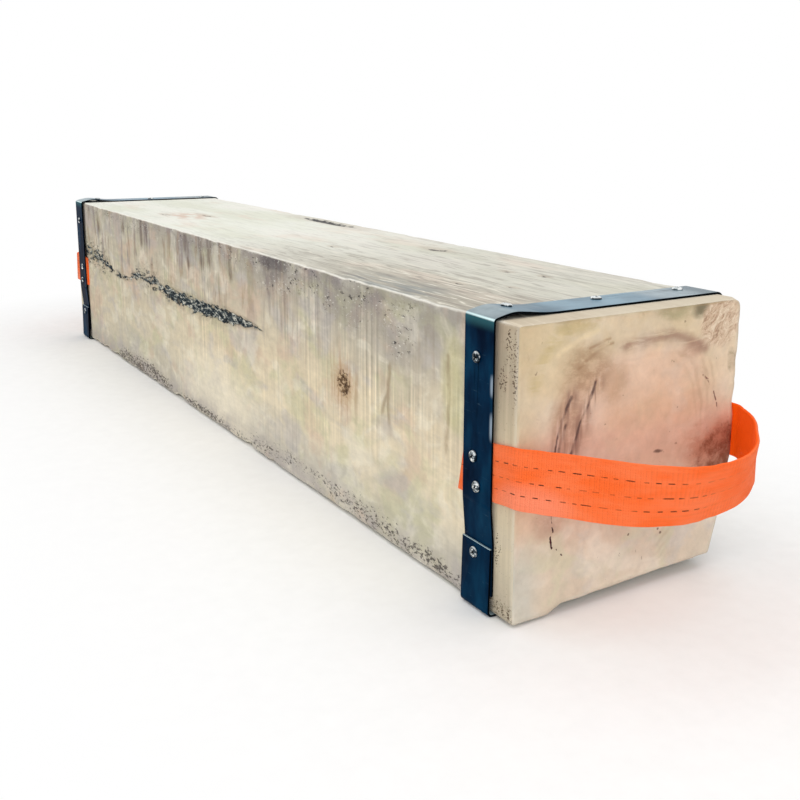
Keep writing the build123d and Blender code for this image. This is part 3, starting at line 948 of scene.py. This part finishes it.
def sunken(g):
    """How far the long faces are sunk by sawing and drying, by bark, the knot and dents. Nothing stands
    out of the sawn box. The grid keeps where the bark, knot and dents are."""
    sunk = 0.7 * roughness(g.along / 90, g.round / 60, 5) + 0.5 * roughness(g.along / 14, g.round / 40, 9)
    sunk = sunk + g.far * (g.height < WANE_HEIGHT) * 2.2 * roughness(g.along / 60, g.round / 18, 12)
    middle, half = table_at(BARK, g.along)
    bark = np.clip(1 - np.abs(g.height - middle) / half, NO_BARK, 1)
    bark = bark - 0.7 * smooth_step(OPEN_BARK - 30, OPEN_BARK + 30, g.along)
    inside = (g.along > BARK[0, 0]) & (g.along < BARK[-1, 0]) & (g.near > 0.5)
    g.bark = np.where(inside, bark, NO_BARK)
    crumbled = roughness(g.along / 7, g.round / 6, 21)
    sunk = sunk + smooth_step(-0.3, 0.5, g.bark) * (0.6 + 2.6 * crumbled)
    g.knot = np.where(g.near > 0.5, nearest_oval(g.along, g.height, SIDE_KNOTS), FAR_OFF)
    sunk = sunk + 1.4 * smooth_step(1.1, 0.5, g.knot) * roughness(g.along / 4, g.round / 4, 23)
    g.mark = np.where(g.upper > 0.5, nearest_oval(g.along, g.across, TOP_MARKS), FAR_OFF)
    sunk = sunk + 2.5 * smooth_step(1.2, 0.4, g.mark)
    return sunk * (1 - 0.75 * smooth_step(*BAND_COVER, g.to_end))


def chip_size(place, seed, usual, deepest):
    """How far an arris is worn back, in millimetres, at places along it."""
    wear = usual * roughness(place / 22, place * 0 + seed, seed)
    chip = smooth_step(0.62, 0.95, roughness(place / 34, place * 0 + 3 * seed, seed + 40, 2))
    return wear + deepest * chip


def chipped(g):
    """How far the long arrises are worn back, chipped and, at the far upper corner, torn."""
    under_band = smooth_step(*BAND_COVER, g.to_end) * smooth_step(8, 20, g.to_end)
    along = g.along[:, :1]
    chips = 0.0
    for number, (usual, deepest) in enumerate(ARRIS_WEAR):
        size = chip_size(along, 31 + number, usual, deepest)
        size = size * (1 - 0.7 * under_band) * smooth_step(-20, 60, along)
        chip = np.clip(size + 1.2 - g.to_corner, 0, None) / math.sqrt(2)
        chips = np.where(g.corner == number, chip, chips)
    reach, depth = TORN_CORNER
    torn = smooth_step(reach, 0, np.hypot(END - g.x, g.to_corner))
    return chips + depth * torn * (g.corner == 2)


def worn_rim(g):
    """How far the long faces are worn back at the rims of the ends, with dents in the far upright edge."""
    seen = g.x > 0
    wear = 2.0 + np.where(seen, chip_size(g.round, 51, 1.2, 3.0), chip_size(g.round, 57, 1.2, 3.0))
    worn = np.clip(wear - g.to_end, 0, None)
    worn = wear - np.sqrt(np.clip(wear ** 2 - worn ** 2, 0, None))
    dents = 0.0
    for level, half_height, depth in FAR_DENTS:
        dents = np.maximum(dents, depth * smooth_step(half_height, 0, np.abs(g.height + UNDER - level)))
    return worn * np.where(seen, 0.25, 0.6) + dents * (g.far > 0.5) * smooth_step(36, 0, END - g.x)


def end_sunken(g, y, z):
    crack = np.min([line_distance(y, z, points) for points in END_CRACKS + END_DASHES], axis=0)
    sunk = 0.9 * roughness(y / 30 + 40, z / 30, 61) + 0.5 * roughness(y / 7 + 50, z / 7, 62)
    sunk = sunk + 1.2 * smooth_step(5.0, 0.6, crack) * (g.x > 0)
    return np.where(g.share < 1, sunk, 0) * smooth_step(1.0, 0.93, g.share)


def lifted(x, y, z):
    """Heights with the break along the lower edge of the end in view."""
    ramp = smooth_step(BREAK_FOOT - SIDE - 2, BREAK_FOOT - SIDE + BREAK_RAMP, y)
    lift = BREAK_DEPTH * np.clip((x - END + BREAK_REACH) / BREAK_REACH, 0, 1) * ramp
    ragged = 0.85 + 0.3 * roughness(y / 16 + 30, x / 16 + 60, 71)
    lift = lift * (ragged + BREAK_SLANT * smooth_step(-70, 105, y))
    return np.where(z < UNDER + BREAK_SQUEEZE, z + lift * (1 - (z - UNDER) / BREAK_SQUEEZE), z)


def timber_fields(g):
    """How strong each kind of mark is at each point, for the paints to read."""
    strength, middle, half = table_at(FOOT_DIRT, g.along)
    moss = g.near * strength * np.clip(1.3 - np.abs(g.height - middle) / half, 0, 1)
    strength, reach = table_at(EDGE_DIRT, g.along)
    grime = g.near * strength * np.clip(1.25 - (TOP - UNDER - g.height) / reach, 0, 1)
    cloud = smooth_step(1.2, 0.2, nearest_oval(g.along, g.height, SPECK_CLOUDS))
    grime = np.maximum(grime, 0.5 * g.near * cloud)
    blue = smooth_step(110, 30, np.abs(g.along - BLUE_DIRT)) * smooth_step(-62, -108, g.across)
    patch = smooth_step(1.2, 0.2, nearest_oval(g.along, g.across, TOP_PATCHES))
    return {
        "moss": moss,
        "foot": g.near * smooth_step(40, 4, g.height),
        "grime": np.maximum(grime, g.upper * blue),
        "bark": g.bark,
        "knot": g.knot,
        "mark": g.mark,
        "patch": g.upper * patch,
        "edge": np.where(g.share < 1, HALF_END * (1 - g.share), np.minimum(g.to_corner, g.to_end)),
    }


def build_timber():
    g = timber_grid()
    rows, columns = g.along.shape
    back = sunken(g) + worn_rim(g)
    section = g.outline - g.normals * back[..., None] + g.inward * chipped(g)[..., None]
    y, z = (middle + (section[..., axis] - middle) * g.share for axis, middle in enumerate(PITH))
    x = g.x - np.sign(g.x) * end_sunken(g, y, z)
    z = lifted(x, y, z)
    vertices = np.stack([x, y, z], axis=-1).reshape(-1, 3)
    middles = [(-END + END_HOLLOW, *PITH), (END - END_HOLLOW, *PITH)]

    # Which paint each face has: 0 the sides, 1 the top, 2 the ends.
    paint = np.where(g.normals[:, 1] > 0.71, 1, 0) + np.zeros((rows - 1, 1), int)
    full_rows = np.flatnonzero(g.share == 1)
    paint[:full_rows[0]] = 2
    paint[full_rows[-1]:] = 2
    paint = np.r_[paint.ravel(), np.full(2 * columns, 2)].astype(np.int32)
    timber = new_object(
        "timber", np.concatenate([vertices, middles]), capped_faces(rows, columns),
        [side_paint(), top_paint(), end_paint()], paint,
    )
    for name, values in timber_fields(g).items():
        values = values.ravel()
        add_field(timber, name, np.r_[values, values[0], values[-1]])
    stands_for(timber, "timber_baulk")


# Webbing

def strap_line():
    """Middle line of the webbing of the right end in X and Y, from the near tail to the far one."""
    corners = [
        (TAIL_END, -STRAP_SIDE), (LEAVE_X, -STRAP_SIDE), (SHOULDER_X, -0.43 * STRAP_SIDE),
        (SHOULDER_X, 0.26 * STRAP_SIDE), (END + 0.48 * (SHOULDER_X - END), 0.81 * STRAP_SIDE),
        (LEAVE_X, STRAP_SIDE), (TAIL_END, STRAP_SIDE),
    ]
    radii = [LEAVE_RADIUS, 0.63 * STRAP_SIDE, 0.75 * STRAP_SIDE, 0.95 * STRAP_SIDE, LEAVE_RADIUS]
    return rounded_path(corners, radii, STRAP_STEP)


def strap_section():
    """Points round the webbing's section, by place across it and out of it."""
    thick = STRAP_THICKNESS / 2
    flat_half = STRAP_WIDTH / 2 - thick
    face = np.linspace(-1, 1, STRAP_POINTS) * flat_half
    turn = np.linspace(0, math.pi, 7)[1:-1]
    outer = np.stack([face, np.full(len(face), thick)], axis=1)
    upper = np.stack([flat_half + thick * np.sin(turn), thick * np.cos(turn)], axis=1)
    return np.concatenate([outer, upper, -outer, -upper])


def build_strap(name, node, mirrored, paint):
    line = strap_line()
    side, thick = strap_section().T
    half = STRAP_WIDTH / 2
    ahead = np.gradient(line, axis=0)
    ahead /= np.linalg.norm(ahead, axis=1)[:, None]
    out = np.stack([ahead[:, 1], -ahead[:, 0]], axis=1)
    rows, columns = len(line), len(side)
    place = np.arange(rows) * STRAP_STEP
    free = smooth_step(END - 4, END + 30, line[:, 0])
    seed = 81 if mirrored else 80

    def wobble(length, row):
        return bumps(place / length, place * 0 + row, seed) - 0.5

    blur = np.full(TWIST_BLUR, 1 / TWIST_BLUR)
    padded = (np.pad(values, TWIST_BLUR // 2, "edge") for values in table_at(TWIST, place))
    turn, rise = (np.convolve(values, blur, "valid") for values in padded)
    turn = np.radians(turn)
    slant = TAIL_SLANT * smooth_step(16, 0, place)[:, None] * side / half
    if mirrored:
        turn, rise = turn * FAR_TWIST[0], rise * FAR_TWIST[1]
        slant = 0.0
    lean = free * 0.05 * wobble(90, 2) - np.sin(turn)
    wave = free * 0.8 * wobble(60, 5)
    edge_wave = 0.5 * wobble(9, 7) * (0.3 + 0.7 * free)
    across = side * (1 + edge_wave[:, None] / half * np.sign(side))
    depth = thick + lean[:, None] * side + wave[:, None]
    x = line[:, :1] + out[:, :1] * depth + slant
    y = line[:, 1:] + out[:, 1:] * depth
    z = STRAP_MIDDLE + across * np.cos(turn)[:, None] + rise[:, None]
    vertices = np.stack([x, y, z], axis=-1).reshape(-1, 3)
    faces = grid_faces(rows, columns)
    ends = [np.arange(columns), np.arange((rows - 1) * columns, rows * columns)[::-1]]
    if mirrored:
        vertices[:, 0] *= -1
        ends = [end[::-1] for end in ends]
    else:
        faces = faces[:, ::-1]
    strap = new_object(name, vertices, faces.tolist() + [end.tolist() for end in ends], [paint])
    blank = np.zeros((rows, columns))
    add_field(strap, "along", place[:, None] + blank)
    add_field(strap, "across", side + blank)
    add_field(strap, "inner", (thick < -0.5) + blank)
    stands_for(strap, node)


# Screws

def screw_points():
    """A screw along Z: rings from the middle of its recess over the head, down the thread to its tip,
    and where the recess is."""
    angle = np.arange(SCREW_COLUMNS) * 2 * math.pi / SCREW_COLUMNS

    def ring(radius, level):
        return np.stack(np.broadcast_arrays(radius * np.cos(angle), radius * np.sin(angle), level), axis=1)

    rings = []
    recess = []
    for share in np.linspace(0.02, 1, 18):
        radius = HEAD_RADIUS * share
        level = HEAD_RIM + (HEAD_CROWN - HEAD_RIM) * math.sqrt(max(0, 1 - share ** 2.6))
        arm = radius * np.minimum(np.abs(np.cos(angle)), np.abs(np.sin(angle)))
        slot = smooth_step(0.95, 0.5, arm) * smooth_step(2.9, 2.4, radius)
        recess.append(slot)
        rings.append(ring(radius, level - RECESS_DEPTH * slot * (1 - 0.25 * share)))
    for radius, level in ((HEAD_RADIUS, 0.2), (HEAD_RADIUS - 0.25, 0.0), (CORE_RADIUS + 0.6, 0.0)):
        rings.append(ring(radius, level))
    for level in np.arange(-SHANK_STEP, -SHANK_LENGTH, -SHANK_STEP):
        turn = (level / THREAD_PITCH - angle / (2 * math.pi)) % 1
        crest = np.clip(1 - np.abs(turn - 0.5) * 5, 0, 1)
        taper = np.clip((level + SHANK_LENGTH) / POINT_LENGTH, 0.08, 1)
        rings.append(ring((CORE_RADIUS + (SHANK_RADIUS - CORE_RADIUS) * crest) * taper, level))
    recess += [np.zeros(SCREW_COLUMNS)] * (len(rings) - len(recess))
    return np.array(rings), np.r_[np.ravel(recess), 1, 0]


def screw_axis(node):
    """The point under a screw's head and the way out of the wood, read from its CAD solid."""
    points = np.array([vertex.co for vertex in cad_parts[node].data.vertices]) / MM
    middle = (points.min(axis=0) + points.max(axis=0)) / 2
    axis = np.linalg.svd(points - points.mean(axis=0))[2][0]
    places = (points - middle) @ axis
    off = np.linalg.norm(points - middle - places[:, None] * axis, axis=1)
    if places[off > HEAD_RADIUS * 0.9].mean() < 0:
        axis = -axis
        places = -places
    return middle + axis * (places.max() - HEAD_HEIGHT), axis


def build_screw(node, shape, recess, turn, paint):
    seat, axis = screw_axis(node)
    turned = Vector(axis).to_track_quat("Z", "Y").to_matrix() @ Matrix.Rotation(turn, 3, "Z")
    vertices = shape.reshape(-1, 3)
    vertices = np.concatenate([vertices, [[0, 0, vertices[0, 2]], [0, 0, -SHANK_LENGTH]]])
    vertices = vertices @ np.array(turned).T + seat
    screw = new_object(node.replace("screw", "zinc_screw"), vertices, capped_faces(*shape.shape[:2]), [paint])
    add_field(screw, "recess", recess)
    stands_for(screw, node)


def dress_band(node, paint):
    """A band keeps its CAD solid, with its edges eased."""
    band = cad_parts[node]
    band.data.materials.clear()
    band.data.materials.append(paint)
    weld = band.modifiers.new("weld", "WELD")
    weld.merge_threshold = 0.02 * MM
    bevel = band.modifiers.new("eased", "BEVEL")
    bevel.width = BAND_EASE * MM
    bevel.segments = 2
    bevel.limit_method = "ANGLE"
    bevel.angle_limit = math.radians(40)
    bevel.harden_normals = True


# Floor, light and camera

def camera_rays(tree):
    """1 for rays that show the background: from the camera, and by reflection."""
    path = tree.nodes.new("ShaderNodeLightPath")
    total = path.outputs["Is Camera Ray"]
    for name in ("Is Glossy Ray", "Is Transmission Ray"):
        larger = tree.nodes.new("ShaderNodeMath")
        larger.operation = "MAXIMUM"
        tree.links.new(total, larger.inputs[0])
        tree.links.new(path.outputs[name], larger.inputs[1])
        total = larger.outputs[0]
    return total


def build_floor():
    angle = np.arange(FLOOR_COLUMNS) * 2 * math.pi / FLOOR_COLUMNS
    rim = np.stack([np.cos(angle), np.sin(angle), angle * 0], axis=1) * FLOOR_RADIUS / MM
    rim[:, 2] = -FLOOR_DROP
    p = Paint("floor_pale", rough=0.9, gloss=0.1)
    p.colour = p.ramp(p.noise((60, 60, 60), 91), (0.3, 248, 248, 247), (0.7, 252, 252, 251))
    p.done()
    past_end = p.math("MAXIMUM", p.math("SUBTRACT", p.math("ABSOLUTE", p.x), END), 0.0)
    distance = p.math("SQRT", p.scaled(past_end, past_end, p.times(p.y, p.y)))
    fade = p.times(p.step(*FLOOR_FADE, distance), camera_rays(p.tree))
    white = p.add("ShaderNodeEmission", {"Color": (1, 1, 1, 1), "Strength": 1.0})
    mixed = p.add("ShaderNodeMixShader", {0: fade, 1: p.shader.outputs[0], 2: white.outputs[0]})
    output = next(node for node in p.tree.nodes if node.type == "OUTPUT_MATERIAL")
    p.put(output.inputs["Surface"], mixed.outputs[0])
    new_object("floor", rim, [list(range(FLOOR_COLUMNS))], [p.material])


def build_light():
    world = bpy.data.worlds.new("studio")
    bpy.context.scene.world = world
    world.use_nodes = True
    tree = world.node_tree
    background = tree.nodes["Background"]
    background.inputs["Color"].default_value = (1, 1, 1, 1)
    strength = tree.nodes.new("ShaderNodeMapRange")
    strength.inputs["To Min"].default_value = WORLD_LIGHT
    strength.inputs["To Max"].default_value = 1.0
    tree.links.new(camera_rays(tree), strength.inputs["Value"])
    tree.links.new(strength.outputs[0], background.inputs["Strength"])
    softbox("overhead", (0.1, -0.3, 3.0), (0, 0, 0), 4.0, 44)
    softbox("front", (3.4, -1.6, 1.4), (0.3, 0, 0.1), 2.4, 40)


def softbox(name, place, aim, size, watts):
    """A square lamp, with its place, aim and size in metres."""
    lamp = bpy.data.lights.new(name, "AREA")
    lamp.shape = "SQUARE"
    lamp.size = size
    lamp.energy = watts
    thing = bpy.data.objects.new(name, lamp)
    thing.location = place
    thing.rotation_mode = "QUATERNION"
    thing.rotation_quaternion = (Vector(aim) - Vector(place)).to_track_quat("-Z", "Y")
    thing.visible_glossy = False
    bpy.context.scene.collection.objects.link(thing)


def build_camera():
    lens = bpy.data.cameras.new("camera")
    lens.sensor_width = 36.0
    lens.sensor_fit = "HORIZONTAL"
    lens.lens = FOCAL_PIXELS / FRAME_PIXELS * lens.sensor_width
    lens.shift_x = (FRAME_PIXELS / 2 - CENTRE_PIXEL[0]) / FRAME_PIXELS
    lens.shift_y = (CENTRE_PIXEL[1] - FRAME_PIXELS / 2) / FRAME_PIXELS
    lens.clip_end = 100
    camera = bpy.data.objects.new("camera", lens)
    turn = Matrix.Rotation(math.radians(CAMERA_AZIMUTH), 4, "Z")
    tilt = Matrix.Rotation(math.radians(90 - CAMERA_PITCH), 4, "X")
    roll = Matrix.Rotation(math.radians(CAMERA_ROLL), 4, "Z")
    camera.matrix_world = Matrix.Translation(CAMERA_PLACE) @ turn @ tilt @ roll
    bpy.context.scene.collection.objects.link(camera)
    bpy.context.scene.camera = camera


build_timber()
webbing = webbing_paint()
build_strap("right_webbing", "right_handle_strap", False, webbing)
build_strap("left_webbing", "left_handle_strap", True, webbing)
lacquer = band_paint()
dress_band("right_end_band", lacquer)
dress_band("left_end_band", lacquer)
zinc = zinc_paint()
screw_shape, screw_recess = screw_points()
screw_turns = np.random.default_rng(7)
for screw_node in sorted(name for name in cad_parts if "_screw_" in name):
    build_screw(screw_node, screw_shape, screw_recess, screw_turns.uniform(0, math.pi / 2), zinc)
build_floor()
build_light()
build_camera()
bpy.context.scene.view_settings.view_transform = "Standard"
